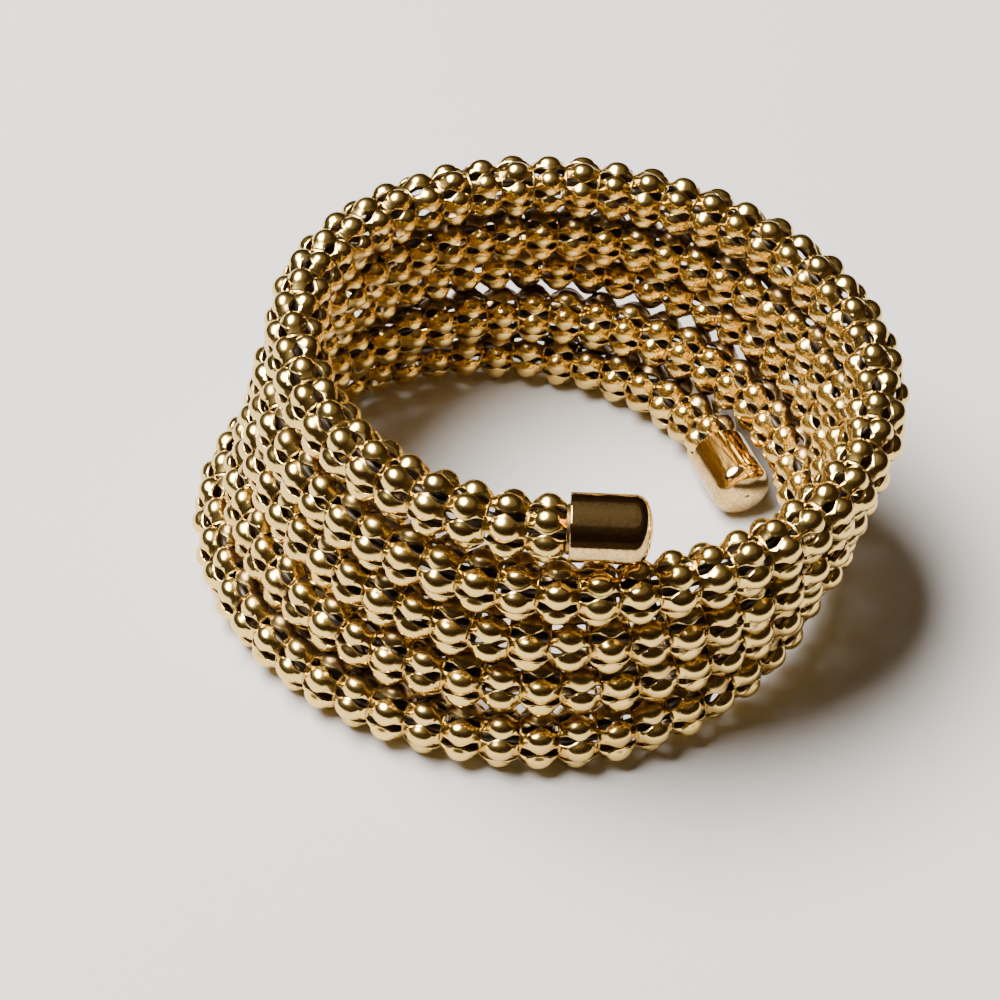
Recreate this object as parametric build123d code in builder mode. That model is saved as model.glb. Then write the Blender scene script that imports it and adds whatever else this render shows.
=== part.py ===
from build123d import *
from collections import namedtuple
from math import cos, pi, radians, sin, tan
import os

# A spiral coil bracelet: a long hollow sleeve, made of one ring of domed links behind the
# other, on a springy core wire, with a smooth bullet-shaped cap on each end. It is modelled
# as it rests by itself on a flat surface, with +Z up, the top cap at the front (-Y) and the
# wrist hollow along Z. The origin is under the middle of the coil, on that surface.

# Sizes of the coil, in millimetres and degrees
coil_radius = 30.0
sleeve_diameter = 6.1
sleeve_wall = 1.1
turn_gap = 0.15
start_angle = 277.7
runs_per_turn = 16
arc_share = 0.45

# Sizes of the rings of links that the sleeve is strung from
ring_pitch = 3.75
ring_end_diameter = 4.8
ring_clearance = 0.12
route_steps_per_turn = 320

# Sizes of the core wire
core_diameter = 1.4
core_clearance = 0.05
core_reach = 4.6

# Sizes of the end caps
cap_step = 0.3
cap_length = 7.9
cap_dome = 0.9
cap_shoulder_round = 1.5
cap_wall = 0.6
cap_rim_round = 0.15
tuck_depth = 2.2
tuck_clearance = 0.05
seat_clearance = 0.1

# Sizes that follow from the ones above
sleeve_radius = sleeve_diameter / 2
bore_radius = sleeve_radius - sleeve_wall
ring_end_radius = ring_end_diameter / 2
pitch = sleeve_diameter + turn_gap
cap_radius = sleeve_radius + cap_step
cap_bore_radius = cap_radius - cap_wall
tuck_radius = cap_bore_radius - tuck_clearance
core_radius = core_diameter / 2
socket_radius = core_radius + core_clearance

# Resting form of the coil, a row for each quarter turn from the top end, and one for the
# bottom end. ring is the growth of the turn's radius, shift_x and shift_y are the drift
# of its middle, and rise is its height over the lowest turn, all in sleeve pitches.
Row = namedtuple("Row", "turn ring shift_x shift_y rise")
coil_form = [
    Row(0.00, 0.22, -0.24, 0.15, 4.42),
    Row(0.25, -0.42, 0.10, 0.25, 4.10),
    Row(0.50, -0.20, 0.30, 0.10, 3.90),
    Row(0.75, 0.05, 0.50, 0.00, 3.70),
    Row(1.00, 0.15, 0.45, -0.05, 3.30),
    Row(1.25, 0.10, 0.45, -0.15, 3.10),
    Row(1.50, 0.05, 0.35, -0.15, 2.90),
    Row(1.75, 0.05, 0.30, -0.10, 2.70),
    Row(2.00, 0.10, 0.30, -0.05, 2.20),
    Row(2.25, 0.15, 0.30, 0.05, 2.05),
    Row(2.50, 0.20, 0.25, 0.05, 1.95),
    Row(2.75, 0.15, 0.15, 0.05, 1.70),
    Row(3.00, 0.05, 0.00, -0.05, 1.15),
    Row(3.25, 0.05, -0.05, -0.10, 0.95),
    Row(3.50, 0.00, -0.05, -0.20, 1.02),
    Row(3.75, 0.00, -0.15, -0.10, 0.80),
    Row(4.00, 0.10, -0.25, -0.20, 0.00),
    Row(4.25, 0.10, -0.50, -0.15, 0.00),
    Row(4.50, -0.10, -0.75, -0.05, 0.00),
    Row(4.70, -0.05, -1.15, 0.25, 0.06),
]
coil_turns = coil_form[-1].turn


def slope(before, after):
    """Slope at a row, level where the column turns back so that nothing overshoots."""
    if before * after <= 0:
        return 0.0
    return 2 * before * after / (before + after)


def smooth(column, turn):
    """Value of one column of coil_form at any turn, on a smooth curve through its rows."""
    spans = list(zip(coil_form, coil_form[1:]))
    rates = [(getattr(b, column) - getattr(a, column)) / (b.turn - a.turn) for a, b in spans]
    inner = [slope(before, after) for before, after in zip(rates, rates[1:])]
    slopes = [rates[0]] + inner + [rates[-1]]
    k = max(i for i, (a, b) in enumerate(spans) if a.turn <= turn)
    a, b = spans[k]
    step = b.turn - a.turn
    t = (turn - a.turn) / step
    level = getattr(a, column) + (3 * t**2 - 2 * t**3) * rates[k] * step
    return level + step * ((t**3 - 2 * t**2 + t) * slopes[k] + (t**3 - t**2) * slopes[k + 1])


def coil_point(turn, spread=1.0):
    """Point of the centre line at a turn, before the coil is centred on the origin."""
    angle = radians(start_angle) - 2 * pi * turn
    ring = (coil_radius + pitch * smooth("ring", turn)) * spread
    x = pitch * smooth("shift_x", turn) + ring * cos(angle)
    y = pitch * smooth("shift_y", turn) + ring * sin(angle)
    return Vector(x, y, sleeve_radius + pitch * smooth("rise", turn))


# Corners of the centre line's runs: each stands outside the curve, half-way along a
# step, so that the runs touch the curve. The two ends are on the curve itself.
corner_count = round(coil_turns * runs_per_turn)
turn_step = coil_turns / corner_count
corner_spread = 1 / cos(pi * turn_step)
trail = [coil_point(0.0)]
trail += [coil_point((i + 0.5) * turn_step, corner_spread) for i in range(corner_count)]
trail += [coil_point(coil_turns)]

# The middle of the coil, seen from above, is brought over the origin
outline_steps = 4 * corner_count
outline = [coil_point(coil_turns * i / outline_steps) for i in range(outline_steps + 1)]
middle_x = (max(p.X for p in outline) + min(p.X for p in outline)) / 2
middle_y = (max(p.Y for p in outline) + min(p.Y for p in outline)) / 2
trail = [p - Vector(middle_x, middle_y, 0) for p in trail]


def bend_radii(points):
    """Radius of the arc at each corner: the largest that its two runs leave room for."""
    radii = []
    for before, corner, after in zip(points, points[1:], points[2:]):
        turned = radians((corner - before).get_angle(after - corner))
        run = min((corner - before).length, (after - corner).length)
        radii.append(arc_share * run / tan(turned / 2))
    return radii


radii = bend_radii(trail)
print("bend radii in mm:", [round(radius, 1) for radius in radii])

# Directions in which the two ends point, and the planes in which the sleeve stops
top_direction = (trail[0] - trail[1]).normalized()
bottom_direction = (trail[-1] - trail[-2]).normalized()
top_seat = Plane(origin=trail[0], z_dir=top_direction)
bottom_seat = Plane(origin=trail[-1], z_dir=bottom_direction)

# Core wire: runs the whole length of the sleeve and into the socket of each cap
core_start = trail[0] + top_direction * core_reach
core_end = trail[-1] + bottom_direction * core_reach
core_trail = [core_start] + trail[1:-1] + [core_end]
with BuildPart() as core_wire:
    with BuildLine():
        FilletPolyline(*core_trail, radius=radii)
    with BuildSketch(Plane(origin=core_start, z_dir=-top_direction)):
        Circle(core_radius)
    sweep()
core_wire.part.label = "core_wire"

# The sleeve's true way, in steps short enough to set the rings out along it
route_steps = round(coil_turns * route_steps_per_turn)
route = [coil_point(coil_turns * i / route_steps) for i in range(route_steps + 1)]
route = [p - Vector(middle_x, middle_y, 0) for p in route]
strides = [(after - before).length for before, after in zip(route, route[1:])]
ring_count = round(sum(strides) / ring_pitch)
ring_spacing = sum(strides) / ring_count


def place_along(distance):
    """Plane square to the route at a distance from the top end."""
    for before, after, stride in zip(route, route[1:], strides):
        if distance <= stride:
            break
        distance -= stride
    heading = (after - before).normalized()
    return Plane(origin=before + heading * distance, z_dir=heading)


# A ring is as long as the sharpest turn between two neighbours lets it be
ring_places = [place_along((i + 0.5) * ring_spacing) for i in range(ring_count)]
turns_between = [a.z_dir.get_angle(b.z_dir) for a, b in zip(ring_places, ring_places[1:])]
sharpest_turn = radians(max(turns_between))
ring_length = ring_spacing - ring_clearance - ring_end_radius * sharpest_turn
print("rings:", ring_count, "each", round(ring_length, 2), "mm long")

# Ring of links: hollow, and domed outwards between its two narrower rims
with BuildPart() as link_ring:
    with BuildSketch(Plane.XZ):
        with BuildLine():
            first_rim = (ring_end_radius, -ring_length / 2)
            last_rim = (ring_end_radius, ring_length / 2)
            bore_start = (bore_radius, -ring_length / 2)
            bore_end = (bore_radius, ring_length / 2)
            Polyline(last_rim, bore_end, bore_start, first_rim)
            ThreePointArc(first_rim, (sleeve_radius, 0), last_rim)
        make_face()
    revolve(axis=Axis.Z)

# Neck: the plain end of the sleeve that is tucked into a cap
with BuildPart() as neck:
    with BuildSketch():
        Circle(tuck_radius)
        Circle(bore_radius, mode=Mode.SUBTRACT)
    extrude(amount=tuck_depth)

# Mesh sleeve: the rings one behind the other, with a neck at each end
sleeve_pieces = [place.location * link_ring.part for place in ring_places]
sleeve_pieces += [seat.location * neck.part for seat in (top_seat, bottom_seat)]
mesh_sleeve = Compound(sleeve_pieces, label="mesh_sleeve")


def bullet_cap():
    """End cap standing on its open rim: a bullet with a stepped hole for sleeve and wire."""
    dome_rim = (cap_radius, cap_length - cap_dome)
    with BuildPart() as cap:
        with BuildSketch(Plane.XZ) as profile:
            with BuildLine():
                Polyline((0, cap_length), (0, 0), (cap_radius, 0), dome_rim)
                TangentArc((0, cap_length), dome_rim, tangent=(1, 0))
            make_face()
            for corner, round_radius in ((-1, cap_shoulder_round), (0, cap_rim_round)):
                outer_corners = profile.vertices().group_by(Axis.X)[-1].sort_by(Axis.Y)
                fillet(outer_corners[corner], round_radius)
        revolve(axis=Axis.Z)
        with BuildSketch():
            Circle(cap_bore_radius)
        extrude(amount=tuck_depth + seat_clearance, mode=Mode.SUBTRACT)
        with BuildSketch():
            Circle(socket_radius)
        extrude(amount=core_reach + seat_clearance, mode=Mode.SUBTRACT)
    return cap.part


# Both caps are alike, and the rim of each sits just clear of the sleeve's shoulder
cap_shape = bullet_cap()
top_rim = Plane(origin=trail[0] + top_direction * seat_clearance, z_dir=top_direction)
bottom_rim = Plane(origin=trail[-1] + bottom_direction * seat_clearance, z_dir=bottom_direction)
with BuildPart() as top_end_cap:
    add(top_rim.location * cap_shape)
top_end_cap.part.label = "top_end_cap"
with BuildPart() as bottom_end_cap:
    add(bottom_rim.location * cap_shape)
bottom_end_cap.part.label = "bottom_end_cap"

os.makedirs("parts", exist_ok=True)
export_step(core_wire.part, "parts/core_wire.step")
export_step(mesh_sleeve, "parts/mesh_sleeve.step")
export_step(top_end_cap.part, "parts/top_end_cap.step")
export_step(bottom_end_cap.part, "parts/bottom_end_cap.step")
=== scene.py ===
from collections import namedtuple
from math import cos, pi, radians, sin

import bpy
import numpy as np
from mathutils import Matrix, Vector


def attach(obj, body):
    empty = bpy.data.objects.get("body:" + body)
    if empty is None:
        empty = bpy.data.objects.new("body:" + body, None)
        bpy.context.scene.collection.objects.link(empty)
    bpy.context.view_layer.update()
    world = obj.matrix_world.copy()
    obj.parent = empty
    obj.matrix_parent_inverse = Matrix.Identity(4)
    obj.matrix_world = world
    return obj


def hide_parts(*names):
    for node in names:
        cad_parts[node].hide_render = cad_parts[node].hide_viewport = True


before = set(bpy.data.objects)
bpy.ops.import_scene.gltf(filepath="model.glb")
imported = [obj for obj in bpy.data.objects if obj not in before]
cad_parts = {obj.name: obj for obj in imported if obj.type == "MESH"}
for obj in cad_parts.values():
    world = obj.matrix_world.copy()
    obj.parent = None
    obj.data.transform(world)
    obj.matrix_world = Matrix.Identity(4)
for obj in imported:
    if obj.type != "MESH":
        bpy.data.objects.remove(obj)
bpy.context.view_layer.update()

# The looks of the spiral coil bracelet: every ring of domed links on its true way round the
# coil, the two bullet caps and the spring wire, on a pale floor under soft light.
# Lengths are in millimetres until a mesh is made, and MM turns them into metres.
MM = 0.001

# Sizes of the coil, in millimetres and degrees
coil_radius = 30.0
sleeve_diameter = 6.1
turn_gap = 0.15
start_angle = 277.7
ring_pitch = 3.75
route_steps_per_turn = 320
sleeve_radius = sleeve_diameter / 2
pitch = sleeve_diameter + turn_gap

# Resting form of the coil, a row for each quarter turn from the top end, and one for the
# bottom end. ring is the growth of the turn's radius, shift_x and shift_y are the drift
# of its middle, and rise is its height over the lowest turn, all in sleeve pitches.
Row = namedtuple("Row", "turn ring shift_x shift_y rise")
coil_form = [
    Row(0.00, 0.22, -0.24, 0.15, 4.42),
    Row(0.25, -0.42, 0.10, 0.25, 4.10),
    Row(0.50, -0.20, 0.30, 0.10, 3.90),
    Row(0.75, 0.05, 0.50, 0.00, 3.70),
    Row(1.00, 0.15, 0.45, -0.05, 3.30),
    Row(1.25, 0.10, 0.45, -0.15, 3.10),
    Row(1.50, 0.05, 0.35, -0.15, 2.90),
    Row(1.75, 0.05, 0.30, -0.10, 2.70),
    Row(2.00, 0.10, 0.30, -0.05, 2.20),
    Row(2.25, 0.15, 0.30, 0.05, 2.05),
    Row(2.50, 0.20, 0.25, 0.05, 1.95),
    Row(2.75, 0.15, 0.15, 0.05, 1.70),
    Row(3.00, 0.05, 0.00, -0.05, 1.15),
    Row(3.25, 0.05, -0.05, -0.10, 0.95),
    Row(3.50, 0.00, -0.05, -0.20, 1.02),
    Row(3.75, 0.00, -0.15, -0.10, 0.80),
    Row(4.00, 0.10, -0.25, -0.20, 0.00),
    Row(4.25, 0.10, -0.50, -0.15, 0.00),
    Row(4.50, -0.10, -0.75, -0.05, 0.00),
    Row(4.70, -0.05, -1.15, 0.25, 0.06),
]
coil_turns = coil_form[-1].turn

# The chain lies loosely on its wire: lift is how far its middle is above the wire's, by turn.
# The lowest turn rests on its domes, and the turns higher up sink a little.
Rest = namedtuple("Rest", "turn lift")
chain_rest = [
    Rest(0.0, -0.28),
    Rest(0.1, -0.34),
    Rest(1.0, -0.14),
    Rest(2.0, -0.16),
    Rest(3.0, -0.14),
    Rest(3.5, 0.10),
    Rest(4.0, 0.36),
    Rest(4.7, 0.36),
]


def slope(before, after):
    """Slope at a row, level where the column turns back so that nothing overshoots."""
    if before * after <= 0:
        return 0.0
    return 2 * before * after / (before + after)


def smooth(column, turn):
    """Value of one column of coil_form at any turn, on a smooth curve through its rows."""
    spans = list(zip(coil_form, coil_form[1:]))
    rates = [(getattr(b, column) - getattr(a, column)) / (b.turn - a.turn) for a, b in spans]
    inner = [slope(before, after) for before, after in zip(rates, rates[1:])]
    slopes = [rates[0]] + inner + [rates[-1]]
    k = max(i for i, (a, b) in enumerate(spans) if a.turn <= turn)
    a, b = spans[k]
    step = b.turn - a.turn
    t = (turn - a.turn) / step
    level = getattr(a, column) + (3 * t**2 - 2 * t**3) * rates[k] * step
    return level + step * ((t**3 - 2 * t**2 + t) * slopes[k] + (t**3 - t**2) * slopes[k + 1])


def coil_point(turn):
    """Point of the centre line at a turn, before the coil is centred on the origin."""
    angle = radians(start_angle) - 2 * pi * turn
    ring = coil_radius + pitch * smooth("ring", turn)
    x = pitch * smooth("shift_x", turn) + ring * cos(angle)
    y = pitch * smooth("shift_y", turn) + ring * sin(angle)
    return (x, y, sleeve_radius + pitch * smooth("rise", turn))


def unit(rows):
    """Each row of an array scaled to length one."""
    return rows / np.linalg.norm(rows, axis=1)[:, None]


class ChainWay:
    """The centre line by distance from the top end, with its outward and upward directions."""

    def __init__(self):
        steps = round(coil_turns * route_steps_per_turn)
        turns = np.linspace(0.0, coil_turns, steps + 1)
        points = np.array([coil_point(turn) for turn in turns])
        points[:, :2] -= (points[:, :2].max(axis=0) + points[:, :2].min(axis=0)) / 2
        rest_turns = [row.turn for row in chain_rest]
        points[:, 2] += np.interp(turns, rest_turns, [row.lift for row in chain_rest])
        strides = np.linalg.norm(np.diff(points, axis=0), axis=1)
        self.distance = np.concatenate([[0.0], np.cumsum(strides)])
        self.points = points
        self.heading = unit(np.gradient(points, self.distance, axis=0))
        upright = np.array([0.0, 0.0, 1.0])
        self.up = unit(upright - self.heading * (self.heading @ upright)[:, None])
        self.out = np.cross(self.up, self.heading)
        self.length = self.distance[-1]

    def read(self, table, distance):
        """One of the way's tables, read at any distances."""
        return np.stack([np.interp(distance, self.distance, table[:, i]) for i in range(3)], axis=1)

    def place(self, distance, out, up):
        """Points out and up from the centre line, which runs straight on beyond its ends."""
        inside = np.clip(distance, 0.0, self.length)
        beyond = self.read(self.heading, inside) * (distance - inside)[:, None]
        outward = self.read(self.out, inside) * out[:, None]
        upward = self.read(self.up, inside) * up[:, None]
        return self.read(self.points, inside) + beyond + outward + upward


way = ChainWay()
ring_count = round(way.length / ring_pitch)
ring_spacing = way.length / ring_count

# One link: a dome that runs down into a sloping band on a waisted plate, with a closed back.
# Its heights are counted from the chain's middle.
links_per_ring = 6
wall_thickness = 0.30
back_height = 1.95

# The dome: its top, its radius, how much longer than wide it is, and its foot
dome_top = 3.41
dome_radius = 1.38
dome_stretch = 1.12
foot_angle = radians(62)
foot_step = 0.03

# The plate: wide at its waist beside the dome, narrow from its shoulders to its ends
plate_half_length = 1.86
waist_half_width = 1.39
end_half_width = 0.72
shoulder_reach = 1.50
ridge_fall = 0.45

# The sloping band round the plate, and its rolled edge
waist_band = 0.42
end_band = 0.20
band_slope = radians(45)
end_lip = 0.20
edge_round = 0.07
edge_bulge = 0.4

# How much the directions of the points round the dome are drawn towards its two long sides
bearing_spread = 1.3
# Shares of the dome's foot angle at which its rings of vertices lie
dome_shares = (0.15, 0.32, 0.49, 0.66, 0.83, 1.00)
# Shares of the plate's half length at which a quarter of the outline has its points
outline_shares = (0.84, 0.62, 0.40, 0.20, 0.0)
# How much painted shade lies on each ring of vertices, darkest on the link's hidden back, and how
# rubbed it is
EdgeRing = namedtuple("EdgeRing", "patina rub")
dome_ring = EdgeRing(0.00, 0.00)
fold_ring = EdgeRing(0.00, 0.00)
outline_ring = EdgeRing(0.05, 1.00)
rolled_ring = EdgeRing(0.40, 0.60)
back_ring = EdgeRing(1.00, 0.00)

# One closed body of the chain: points in millimetres, faces, and each point's two marks
Body = namedtuple("Body", "points faces patina rub")


def swell(s):
    """How near a point along the plate is to its waist, from 0 at the shoulders to 1."""
    return 0.5 + 0.5 * np.cos(pi * np.minimum(np.abs(s) / shoulder_reach, 1.0))


def half_width(s):
    """Half the plate's width: widest beside the dome, narrow at the ends."""
    return end_half_width + (waist_half_width - end_half_width) * swell(s)


def link_outline():
    """Points round the plate's outline, counted from the middle of one end."""
    quarter = [(plate_half_length, 0.0), (plate_half_length, end_half_width)]
    for share in outline_shares:
        s = share * plate_half_length
        quarter.append((s, float(half_width(s))))
    half = quarter + [(-s, u) for s, u in reversed(quarter[:-1])]
    return np.array(half + [(s, -u) for s, u in reversed(half[1:-1])])


def closed_faces(ring_total, around):
    """Triangles between rings of vertices, with a pole before the first and after the last."""
    faces = [(0, 1 + j, 1 + (j + 1) % around) for j in range(around)]
    for i in range(ring_total - 1):
        base = 1 + i * around
        for j in range(around):
            k = (j + 1) % around
            faces.append((base + j, base + around + j, base + around + k))
            faces.append((base + j, base + around + k, base + k))
    last = 1 + (ring_total - 1) * around
    faces += [(last + j, last + around, last + (j + 1) % around) for j in range(around)]
    return np.array(faces)


def link_template():
    """One closed link, its points being (along, across, height)."""
    outline = link_outline()
    around = len(outline)
    bearing = np.arctan2(outline[:, 1] * bearing_spread, outline[:, 0])
    compass = np.stack([dome_stretch * np.cos(bearing), np.sin(bearing)], axis=1)
    dome_middle = dome_top - dome_radius
    rings, marks = [], []
    for share in dome_shares:
        lean = foot_angle * share
        height = dome_middle + dome_radius * cos(lean)
        rings.append(np.column_stack([compass * dome_radius * sin(lean), np.full(around, height)]))
        marks.append(dome_ring)
    foot_height = dome_middle + dome_radius * cos(foot_angle)

    # The fold: where the plate's top turns down into its sloping band
    foot = compass * (dome_radius * sin(foot_angle) + foot_step)
    band = end_band + (waist_band - end_band) * swell(outline[:, 0])
    inset = np.column_stack([np.full(around, end_lip), band])
    fold = np.sign(outline) * np.maximum(np.abs(outline) - inset, 0.0)
    foot_reach = np.abs(foot).max(axis=0)
    reach = np.linalg.norm(fold / foot_reach, axis=1)[:, None]
    fold = np.where(reach < 1.0, foot, fold)
    past_foot = np.maximum(np.abs(fold[:, 0]) - foot_reach[0], 0.0)
    beyond = past_foot / (plate_half_length - foot_reach[0])
    fold_height = foot_height - foot_step - ridge_fall * beyond
    edge_height = fold_height - np.linalg.norm(outline - fold, axis=1) * np.tan(band_slope)
    rolled = outline + np.sign(outline) * edge_round * edge_bulge
    back = outline - np.sign(outline) * wall_thickness
    rings.append(np.column_stack([fold, fold_height]))
    rings.append(np.column_stack([outline, edge_height]))
    rings.append(np.column_stack([rolled, edge_height - edge_round]))
    rings.append(np.column_stack([back, np.full(around, back_height)]))
    marks += [fold_ring, outline_ring, rolled_ring, back_ring]

    points = [np.array([[0.0, 0.0, dome_top]])] + rings + [np.array([[0.0, 0.0, back_height]])]
    point_marks = [dome_ring] + [mark for mark in marks for _ in range(around)] + [back_ring]
    patina = np.array([mark.patina for mark in point_marks])
    rub = np.array([mark.rub for mark in point_marks])
    return Body(np.vstack(points), closed_faces(len(rings), around), patina, rub)


# A hoop: the thin ring that the ends of two rows of links are hooked over
hoop_radius = 2.08
hoop_wire_radius = 0.17
hoop_sides = 6
# Painted shade on the hoop, which lies hidden between the rings
hoop_shade = 0.4

# A neck: the plain end of the sleeve, a tube that sits in a cap's open end
neck_radius = 2.44
neck_bore_radius = 1.95
neck_length = 2.1
neck_showing = 0.12
# Painted shade on the neck, in the mouth of its cap
neck_shade = 0.6

# Segments of a hoop or a neck round the chain
round_segments = 24


def turned_body(section, patina):
    """A section of (along, reach) points turned round the chain; its points are (along, out, up)."""
    points, faces = [], []
    sides = len(section)
    for i in range(round_segments):
        turned = 2 * pi * i / round_segments
        for j, (along, reach) in enumerate(section):
            points.append((along, reach * cos(turned), reach * sin(turned)))
            a = i * sides + j
            b = i * sides + (j + 1) % sides
            c = (a + sides) % (round_segments * sides)
            d = (b + sides) % (round_segments * sides)
            faces += [(a, b, d), (a, d, c)]
    # Painted shade, the same on every point of the body
    recess_shade_values = np.full(len(points), patina)
    return Body(np.array(points), np.array(faces), recess_shade_values, np.zeros(len(points)))


def hoop_template():
    """One hoop of round wire."""
    section = []
    for j in range(hoop_sides):
        rolled = 2 * pi * j / hoop_sides
        reach = hoop_radius + hoop_wire_radius * cos(rolled)
        section.append((hoop_wire_radius * sin(rolled), reach))
    return turned_body(section, hoop_shade)


def neck_template(inward):
    """One neck; inward is the side on which its cap lies, 1 or -1 along the way."""
    section = [(-inward * neck_showing, neck_radius), (inward * neck_length, neck_radius)]
    section += [(inward * neck_length, neck_bore_radius), (-inward * neck_showing, neck_bore_radius)]
    return turned_body(section if inward > 0 else section[::-1], neck_shade)


# Setting the links out along the way: the step between two links of a ring, in degrees
link_step = 360.0 / links_per_ring
half_step = link_step / 2
# Angle of a ring's first link round the chain, by the turn of the coil: the chain's slow twist
Twist = namedtuple("Twist", "turn angle")
chain_twist = [
    Twist(0.0, 60.0),
    Twist(1.0, 31.0),
    Twist(2.0, 48.0),
    Twist(3.0, 22.0),
    Twist(4.0, 33.0),
    Twist(4.7, 50.0),
]
# Most that a ring is out of its angle, in degrees, and that a link rises per millimetre
ring_wobble = 2.0
link_tilt = 0.03

# Painted shade: a link darkens where another turn's centre line is nearer than this; the first is the
# darkest
shade_full_reach = 3.6
shade_end_reach = 5.2
# Another turn is what passes within the first distance and lies past the second along the way
next_turn_reach = 12.0
own_turn_reach = 60.0
# Painted shade: the side that lies against the wrist, inside the coil, is a little browner than the
# outer side
wrist_side_shade = 0.16
wrist_side_from = 0.5
wrist_side_to = 2.5

# Two faces of a piece meet in a crease where they turn by more than this
crease_angle = radians(27)
# The small unevenness from link to link, drawn alike each time
dice = np.random.RandomState(11)


def ring_phase(k):
    """Angle of a ring's first link round the chain; every other ring stands half a step on."""
    turn = coil_turns * k / ring_count
    twist = np.interp(turn, [row.turn for row in chain_twist], [row.angle for row in chain_twist])
    return float(twist) + (k % 2) * half_step


def painted_shade(points, out, middle):
    """Painted shade on the points of one ring, from 0 to 1: by their nearness to another turn and to
    the wrist side.
    """
    inner = np.clip((-out - wrist_side_from) / (wrist_side_to - wrist_side_from), 0.0, 1.0)
    centre = way.read(way.points, np.array([middle]))[0]
    near = np.linalg.norm(way.points - centre, axis=1) < next_turn_reach
    other = way.points[near & (np.abs(way.distance - middle) > own_turn_reach)]
    if len(other) == 0:
        return inner * wrist_side_shade
    clear = np.linalg.norm(points[:, None] - other[None], axis=2).min(axis=1)
    closed = np.clip((shade_end_reach - clear) / (shade_end_reach - shade_full_reach), 0.0, 1.0)
    return np.maximum(closed, inner * wrist_side_shade)


def solid_mesh(name, points, faces, marks):
    """A mesh in metres from millimetre arrays, smooth but for its creases."""
    mesh = bpy.data.meshes.new(name)
    mesh.from_pydata((points * MM).tolist(), [], faces.tolist())
    mesh.polygons.foreach_set("use_smooth", np.ones(len(faces), dtype=bool))
    mesh.set_sharp_from_angle(angle=crease_angle)
    for label, values in marks.items():
        layer = mesh.attributes.new(label, "FLOAT", "POINT")
        layer.data.foreach_set("value", np.asarray(values, dtype=np.float32))
    mesh.validate()
    piece = bpy.data.objects.new(name, mesh)
    bpy.context.collection.objects.link(piece)
    return piece


class ChainBodies:
    """The bodies of one piece of chain, laid along the way and joined into one mesh."""

    def __init__(self):
        self.points = []
        self.faces = []
        self.point_count = 0
        self.marks = {"patina": [], "rub": [], "link_tone": [], "painted_shade": []}

    def lay(self, body, distance, out, up, middle):
        """Adds one body, whose ring has its middle at a distance along the way."""
        placed = way.place(distance, out, up)
        self.points.append(placed)
        self.faces.append(body.faces + self.point_count)
        self.marks["patina"].append(body.patina)
        self.marks["rub"].append(body.rub)
        self.marks["link_tone"].append(np.full(len(placed), dice.uniform(0.0, 1.0)))
        self.marks["painted_shade"].append(painted_shade(placed, out, middle))
        self.point_count += len(placed)

    def joined(self, name):
        """The piece, with all its bodies in one mesh."""
        marks = {label: np.concatenate(values) for label, values in self.marks.items()}
        return solid_mesh(name, np.vstack(self.points), np.vstack(self.faces), marks)


def lay_ring(bodies, k, link, hoop):
    """Lays the links of one ring, and the hoop at its start."""
    middle = (k + 0.5) * ring_spacing
    wobble = dice.uniform(-ring_wobble, ring_wobble)
    along, across, height = link.points.T
    for j in range(links_per_ring):
        angle = radians(ring_phase(k) + wobble + link_step * j)
        lifted = height + dice.uniform(-link_tilt, link_tilt) * along
        out = lifted * cos(angle) - across * sin(angle)
        up = lifted * sin(angle) + across * cos(angle)
        bodies.lay(link, middle + along, out, up, middle)
    along, out, up = hoop.points.T
    bodies.lay(hoop, k * ring_spacing + along, out, up, middle)


def lay_neck(bodies, end, inward):
    """Lays the neck at the first or the last ring's outer end."""
    neck = neck_template(inward)
    along, out, up = neck.points.T
    seat = end * ring_spacing
    bodies.lay(neck, seat + along, out, up, seat)


def chain_length(name, first_ring, last_ring):
    """One joined piece: the rings of links from first_ring up to last_ring, and their hoops."""
    link = link_template()
    hoop = hoop_template()
    bodies = ChainBodies()
    for k in range(first_ring, last_ring):
        lay_ring(bodies, k, link, hoop)
    for end, inward in ((0, -1), (ring_count, 1)):
        if end in (first_ring, last_ring):
            lay_neck(bodies, end, inward)
    return bodies.joined(name)


# Finishes


def node_group(name, inputs, output):
    """An empty shader group with the named value inputs and one named value output."""
    group = bpy.data.node_groups.new(name, "ShaderNodeTree")
    for label, value in inputs.items():
        socket = group.interface.new_socket(label, in_out="INPUT", socket_type="NodeSocketFloat")
        socket.default_value = value
    group.interface.new_socket(output, in_out="OUTPUT", socket_type="NodeSocketFloat")
    return group, group.nodes.new("NodeGroupInput"), group.nodes.new("NodeGroupOutput")


def math_node(tree, operation, first, second):
    """A math node whose two inputs are each a socket or a number."""
    node = tree.nodes.new("ShaderNodeMath")
    node.operation = operation
    for socket, value in zip(node.inputs, (first, second)):
        if isinstance(value, (int, float)):
            socket.default_value = value
        else:
            tree.links.new(value, socket)
    return node.outputs[0]


def plating_mottle():
    """Soft cloudy unevenness of thin plating, from 0 to Strength."""
    group, given, made = node_group("plating_mottle", {"Scale": 900.0, "Strength": 1.0}, "Mottle")
    place = group.nodes.new("ShaderNodeTexCoord")
    cloud = group.nodes.new("ShaderNodeTexNoise")
    cloud.inputs["Detail"].default_value = 3.0
    cloud.inputs["Roughness"].default_value = 0.6
    group.links.new(place.outputs["Object"], cloud.inputs["Vector"])
    group.links.new(given.outputs["Scale"], cloud.inputs["Scale"])
    spread = group.nodes.new("ShaderNodeMapRange")
    spread.inputs["From Min"].default_value = 0.38
    spread.inputs["From Max"].default_value = 0.68
    group.links.new(cloud.outputs["Fac"], spread.inputs["Value"])
    strength = math_node(group, "MULTIPLY", spread.outputs["Result"], given.outputs["Strength"])
    group.links.new(strength, made.inputs["Mottle"])
    return group


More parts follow.
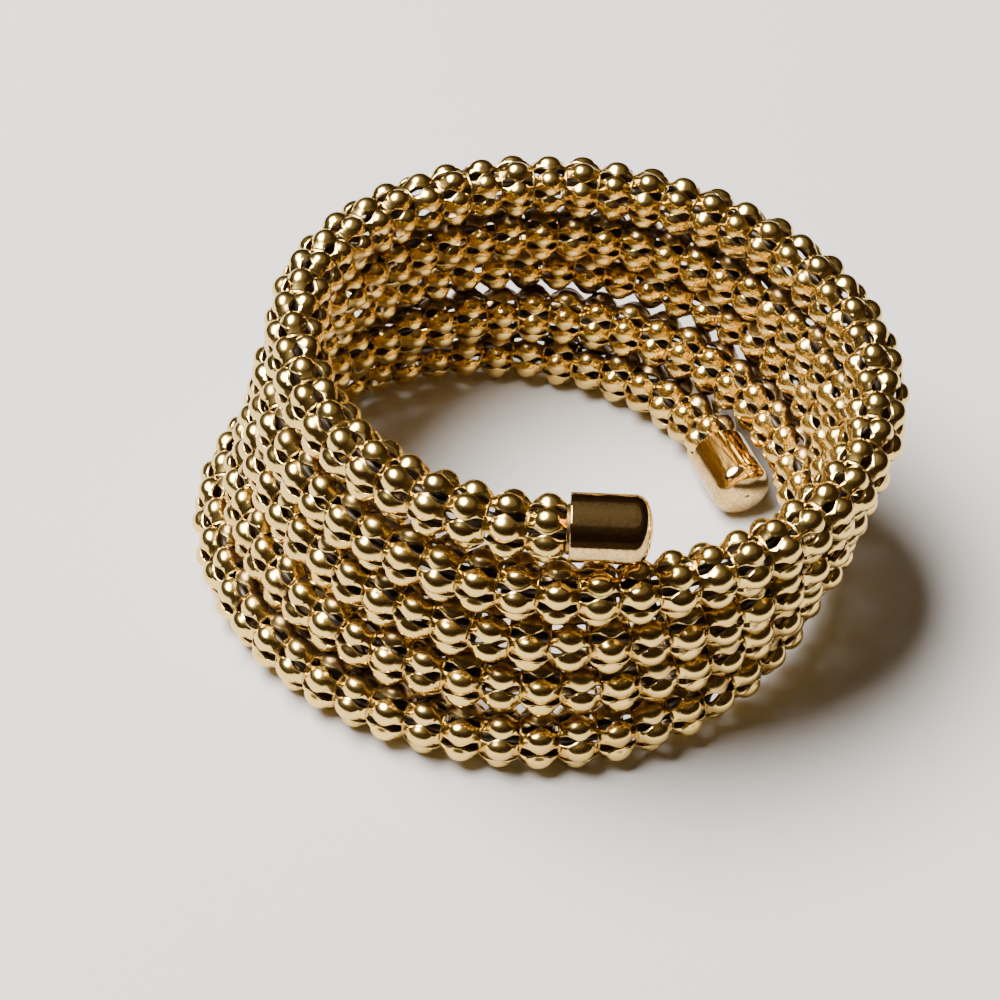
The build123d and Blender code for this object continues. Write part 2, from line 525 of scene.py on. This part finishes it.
def handling_scratches():
    """Fine hairline scratches from wear, as a height."""
    group, given, made = node_group("handling_scratches", {"Scale": 300.0, "Strength": 1.0}, "Height")
    place = group.nodes.new("ShaderNodeTexCoord")
    squeeze = group.nodes.new("ShaderNodeMapping")
    squeeze.inputs["Scale"].default_value = (1.0, 7.0, 2.0)
    squeeze.inputs["Rotation"].default_value = (0.4, 0.9, 0.3)
    group.links.new(place.outputs["Object"], squeeze.inputs["Vector"])
    lines = group.nodes.new("ShaderNodeTexNoise")
    lines.inputs["Detail"].default_value = 4.0
    group.links.new(squeeze.outputs["Vector"], lines.inputs["Vector"])
    group.links.new(given.outputs["Scale"], lines.inputs["Scale"])
    strength = math_node(group, "MULTIPLY", lines.outputs["Fac"], given.outputs["Strength"])
    group.links.new(strength, made.inputs["Height"])
    return group


mottle_group = plating_mottle()
scratch_group = handling_scratches()


def place_group(tree, group, **values):
    """One use of a shared effect, with its own values."""
    node = tree.nodes.new("ShaderNodeGroup")
    node.node_tree = group
    for label, value in values.items():
        node.inputs[label].default_value = value
    return node.outputs[0]


def mix_colour(tree, amount, first, second):
    """A colour mix by a socket's value; each colour is a socket or a plain colour."""
    node = tree.nodes.new("ShaderNodeMix")
    node.data_type = "RGBA"
    tree.links.new(amount, node.inputs["Factor"])
    for label, colour in (("A", first), ("B", second)):
        socket = [s for s in node.inputs if s.name == label and s.type == "RGBA"][0]
        if isinstance(colour, tuple):
            socket.default_value = (*colour, 1.0)
        else:
            tree.links.new(colour, socket)
    return [s for s in node.outputs if s.type == "RGBA"][0]


def add_bump(tree, surface, height, distance, strength):
    """Turns a height into a bump on the surface shader."""
    bump = tree.nodes.new("ShaderNodeBump")
    bump.inputs["Distance"].default_value = distance * MM
    bump.inputs["Strength"].default_value = strength
    tree.links.new(height, bump.inputs["Height"])
    tree.links.new(bump.outputs["Normal"], surface.inputs["Normal"])


def metal(name):
    """A bare metal material with its surface shader."""
    material = bpy.data.materials.new(name)
    material.use_nodes = True
    surface = material.node_tree.nodes["Principled BSDF"]
    surface.inputs["Metallic"].default_value = 1.0
    return material, material.node_tree, surface


# Colours of the metals
bright_gold = (0.92, 0.660, 0.205)
deep_gold = (0.81, 0.540, 0.150)
rubbed_gold = (0.95, 0.77, 0.42)
# Colour of the painted shade on the links
shade_brown = (0.135, 0.080, 0.048)
cap_bright = (0.86, 0.610, 0.240)
cap_deep = (0.50, 0.330, 0.140)
wire_light = (0.11, 0.085, 0.060)
wire_dark = (0.05, 0.036, 0.025)
wire_edge_tint = (0.30, 0.22, 0.16)

# The links' plating: how much each mark counts, and between which values it comes in
link_tone_share = 0.35
rub_share = 0.6
rub_from = 0.80
rub_to = 1.0
recess_shade_from = 0.12
recess_shade_to = 0.80
painted_shade_share = 0.92

# Roughness of each metal, and what its uneven plating and its painted shade add
link_roughness = 0.16
link_plating_roughness = 0.08
link_shade_roughness = 0.15
cap_roughness = 0.05
cap_plating_roughness = 0.06
wire_roughness = 0.40
wire_mottle_roughness = 0.15

# The floor's two tones, and what the metal mirrors of it: it ends in front of the coil at one
# line, and at the back and the sides further off
floor_light = (0.510, 0.489, 0.470)
floor_dark = (0.488, 0.466, 0.447)
floor_end = (0.012, 0.008, 0.006)
floor_roughness = 0.6
mirrored_front = -90.0
mirrored_front_fade = 8.0
mirrored_far = 250.0
mirrored_far_fade = 50.0


def attribute(tree, label):
    """A mark that the mesh carries, as a value."""
    node = tree.nodes.new("ShaderNodeAttribute")
    node.attribute_name = label
    return node.outputs["Fac"]


def step_between(tree, value, low, high):
    """The value spread so that low becomes 0 and high becomes 1, and kept between them."""
    node = tree.nodes.new("ShaderNodeMapRange")
    node.inputs["From Min"].default_value = low
    node.inputs["From Max"].default_value = high
    tree.links.new(value, node.inputs["Value"])
    return node.outputs["Result"]


def link_gold():
    """Gold plate on the links: rubbed bright at the edges, with brown painted shade inside and
    between the turns.
    """
    material, tree, surface = metal("link_gold")
    mottle = place_group(tree, mottle_group, Scale=520.0, Strength=0.45)
    tone = math_node(tree, "MULTIPLY", attribute(tree, "link_tone"), link_tone_share)
    patchy = math_node(tree, "ADD", mottle, tone)
    plate = mix_colour(tree, patchy, bright_gold, deep_gold)
    rubbed = step_between(tree, attribute(tree, "rub"), rub_from, rub_to)
    plate = mix_colour(tree, math_node(tree, "MULTIPLY", rubbed, rub_share), plate, rubbed_gold)
    # Painted shade: hidden backs and edges, places near another turn, and the wrist side go brown
    recess_dark = step_between(tree, attribute(tree, "patina"), recess_shade_from, recess_shade_to)
    shaded = math_node(tree, "MULTIPLY", attribute(tree, "painted_shade"), painted_shade_share)
    painted_shade_mix = math_node(tree, "MAXIMUM", recess_dark, shaded)
    tree.links.new(mix_colour(tree, painted_shade_mix, plate, shade_brown), surface.inputs["Base Color"])
    uneven = math_node(tree, "MULTIPLY", patchy, link_plating_roughness)
    dulled = math_node(tree, "MULTIPLY", painted_shade_mix, link_shade_roughness)
    rough = math_node(tree, "ADD", uneven, dulled)
    tree.links.new(math_node(tree, "ADD", rough, link_roughness), surface.inputs["Roughness"])
    scratches = place_group(tree, scratch_group, Scale=700.0, Strength=1.0)
    add_bump(tree, surface, scratches, distance=0.02, strength=0.08)
    return material


def cap_gold():
    """Polished gold plate of the end caps, finely mottled."""
    material, tree, surface = metal("cap_gold")
    cloud = place_group(tree, mottle_group, Scale=600.0, Strength=0.5)
    grain = place_group(tree, mottle_group, Scale=2800.0, Strength=0.9)
    mottle = math_node(tree, "ADD", cloud, grain)
    tree.links.new(mix_colour(tree, mottle, cap_bright, cap_deep), surface.inputs["Base Color"])
    rough = math_node(tree, "MULTIPLY", mottle, cap_plating_roughness)
    tree.links.new(math_node(tree, "ADD", rough, cap_roughness), surface.inputs["Roughness"])
    scratches = place_group(tree, scratch_group, Scale=420.0, Strength=1.0)
    relief = math_node(tree, "ADD", scratches, grain)
    add_bump(tree, surface, relief, distance=0.012, strength=0.25)
    return material


def wire_steel():
    """Drawn spring steel, oil-darkened, with fine draw marks."""
    material, tree, surface = metal("wire_steel")
    mottle = place_group(tree, mottle_group, Scale=400.0, Strength=1.0)
    dark = mix_colour(tree, mottle, wire_light, wire_dark)
    tree.links.new(dark, surface.inputs["Base Color"])
    rough = math_node(tree, "MULTIPLY", mottle, wire_mottle_roughness)
    tree.links.new(math_node(tree, "ADD", rough, wire_roughness), surface.inputs["Roughness"])
    surface.inputs["Specular Tint"].default_value = (*wire_edge_tint, 1.0)
    scratches = place_group(tree, scratch_group, Scale=600.0, Strength=1.0)
    add_bump(tree, surface, scratches, distance=0.02, strength=0.3)
    return material


def pale_floor_finish():
    """Matt pale floor with a barely uneven tone; mirrored in the metal it ends in front."""
    material = bpy.data.materials.new("pale_floor")
    material.use_nodes = True
    tree = material.node_tree
    surface = tree.nodes["Principled BSDF"]
    mottle = place_group(tree, mottle_group, Scale=9.0, Strength=0.35)
    tint = mix_colour(tree, mottle, floor_light, floor_dark)
    place = tree.nodes.new("ShaderNodeTexCoord")
    far = tree.nodes.new("ShaderNodeVectorMath")
    far.operation = "LENGTH"
    tree.links.new(place.outputs["Object"], far.inputs[0])
    far_end = (mirrored_far + mirrored_far_fade) * MM
    round_about = step_between(tree, far.outputs["Value"], mirrored_far * MM, far_end)
    split = tree.nodes.new("ShaderNodeSeparateXYZ")
    tree.links.new(place.outputs["Object"], split.inputs["Vector"])
    front_start = (mirrored_front + mirrored_front_fade / 2) * MM
    front_end = (mirrored_front - mirrored_front_fade / 2) * MM
    in_front = step_between(tree, split.outputs["Y"], front_start, front_end)
    beyond = math_node(tree, "MAXIMUM", round_about, in_front)
    path = tree.nodes.new("ShaderNodeLightPath")
    dim = math_node(tree, "MULTIPLY", beyond, path.outputs["Is Glossy Ray"])
    tree.links.new(mix_colour(tree, dim, tint, floor_end), surface.inputs["Base Color"])
    surface.inputs["Roughness"].default_value = floor_roughness
    surface.inputs["Specular IOR Level"].default_value = 0.0
    return material


# The pieces of the chain, and the finish of the caps and the wire
chain_piece_count = 6
chain_gold = link_gold()
cuts = [round(ring_count * i / chain_piece_count) for i in range(chain_piece_count + 1)]
for number, (first_ring, last_ring) in enumerate(zip(cuts, cuts[1:]), start=1):
    chain = chain_length(f"domed_chain_{number}", first_ring, last_ring)
    chain.data.materials.append(chain_gold)
    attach(chain, "root")
    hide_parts("mesh_sleeve")

polished_cap = cap_gold()
for node in ("top_end_cap", "bottom_end_cap"):
    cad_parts[node].material_slots[0].material = polished_cap
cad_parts["core_wire"].material_slots[0].material = wire_steel()

# The floor, in metres
floor_half = 1.6
floor_mesh = bpy.data.meshes.new("pale_floor")
floor_corners = [(-floor_half, -floor_half, 0), (floor_half, -floor_half, 0)]
floor_corners += [(floor_half, floor_half, 0), (-floor_half, floor_half, 0)]
floor_mesh.from_pydata(floor_corners, [], [(0, 1, 2, 3)])
floor = bpy.data.objects.new("pale_floor", floor_mesh)
bpy.context.collection.objects.link(floor)
floor_mesh.materials.append(pale_floor_finish())


# The window, in metres and watts, at the upper left
window_place = Vector((-0.46, 0.05, 0.887))
window_width = 1.00
window_height = 0.62
window_power = 56.0
window_colour = (1.0, 0.985, 0.96)


def window_light():
    """An oval soft light, turned to the middle of the coil's foot."""
    light = bpy.data.lights.new("window", "AREA")
    light.shape = "ELLIPSE"
    light.size = window_width
    light.size_y = window_height
    light.energy = window_power
    light.color = window_colour
    lamp = bpy.data.objects.new("window", light)
    lamp.location = window_place
    lamp.rotation_euler = (-window_place).to_track_quat("-Z", "Y").to_euler()
    bpy.context.collection.objects.link(lamp)


window_light()

# How bright the room is by the height of the direction, from straight down to straight up
RoomTone = namedtuple("RoomTone", "height colour")
room_tones = [
    RoomTone(0.00, (0.020, 0.012, 0.008)),
    RoomTone(0.66, (0.022, 0.013, 0.009)),
    RoomTone(0.86, (0.050, 0.035, 0.024)),
    RoomTone(0.90, (0.152, 0.126, 0.096)),
    RoomTone(1.00, (0.162, 0.134, 0.102)),
]
backdrop_tone = (0.90, 0.875, 0.86)


def room_surroundings():
    """Dim warm room with a paler ceiling in reflections, and a pale plain backdrop."""
    world = bpy.data.worlds.new("room")
    world.use_nodes = True
    tree = world.node_tree
    tree.nodes.clear()
    place = tree.nodes.new("ShaderNodeTexCoord")
    split = tree.nodes.new("ShaderNodeSeparateXYZ")
    tree.links.new(place.outputs["Generated"], split.inputs["Vector"])
    height = tree.nodes.new("ShaderNodeMapRange")
    height.inputs["From Min"].default_value = -1.0
    tree.links.new(split.outputs["Z"], height.inputs["Value"])
    ramp = tree.nodes.new("ShaderNodeValToRGB")
    stops = ramp.color_ramp.elements
    while len(stops) < len(room_tones):
        stops.new(0.5)
    for stop, row in zip(stops, room_tones):
        stop.position = row.height
        stop.color = (*row.colour, 1.0)
    tree.links.new(height.outputs["Result"], ramp.inputs["Fac"])
    dim = tree.nodes.new("ShaderNodeBackground")
    tree.links.new(ramp.outputs["Color"], dim.inputs["Color"])
    pale = tree.nodes.new("ShaderNodeBackground")
    pale.inputs["Color"].default_value = (*backdrop_tone, 1.0)
    path = tree.nodes.new("ShaderNodeLightPath")
    either = tree.nodes.new("ShaderNodeMixShader")
    tree.links.new(path.outputs["Is Camera Ray"], either.inputs["Fac"])
    tree.links.new(dim.outputs["Background"], either.inputs[1])
    tree.links.new(pale.outputs["Background"], either.inputs[2])
    made = tree.nodes.new("ShaderNodeOutputWorld")
    tree.links.new(either.outputs["Shader"], made.inputs["Surface"])
    bpy.context.scene.world = world


room_surroundings()

# The camera, which stands where the photograph was taken from
camera_place = Vector((-1.912, -227.270, 210.996)) * MM
camera_elevation = radians(42.016)
camera_pan = radians(-0.5375)
camera_roll = radians(-5.0708)
camera_lens = 102.13
camera_sensor = 36.0


def photo_camera():
    """Looks down at the coil from the front, turned a little on its own axis."""
    data = bpy.data.cameras.new("photo_camera")
    data.sensor_width = camera_sensor
    data.lens = camera_lens
    camera = bpy.data.objects.new("photo_camera", data)
    flat = cos(camera_elevation)
    view = Vector((sin(camera_pan) * flat, cos(camera_pan) * flat, -sin(camera_elevation)))
    level = Vector((cos(camera_pan), -sin(camera_pan), 0.0))
    down = view.cross(level)
    right = level * cos(camera_roll) + down * sin(camera_roll)
    below = down * cos(camera_roll) - level * sin(camera_roll)
    turned = Matrix((right, -below, -view)).transposed().to_4x4()
    camera.matrix_world = Matrix.Translation(camera_place) @ turned
    bpy.context.collection.objects.link(camera)
    bpy.context.scene.camera = camera


photo_camera()
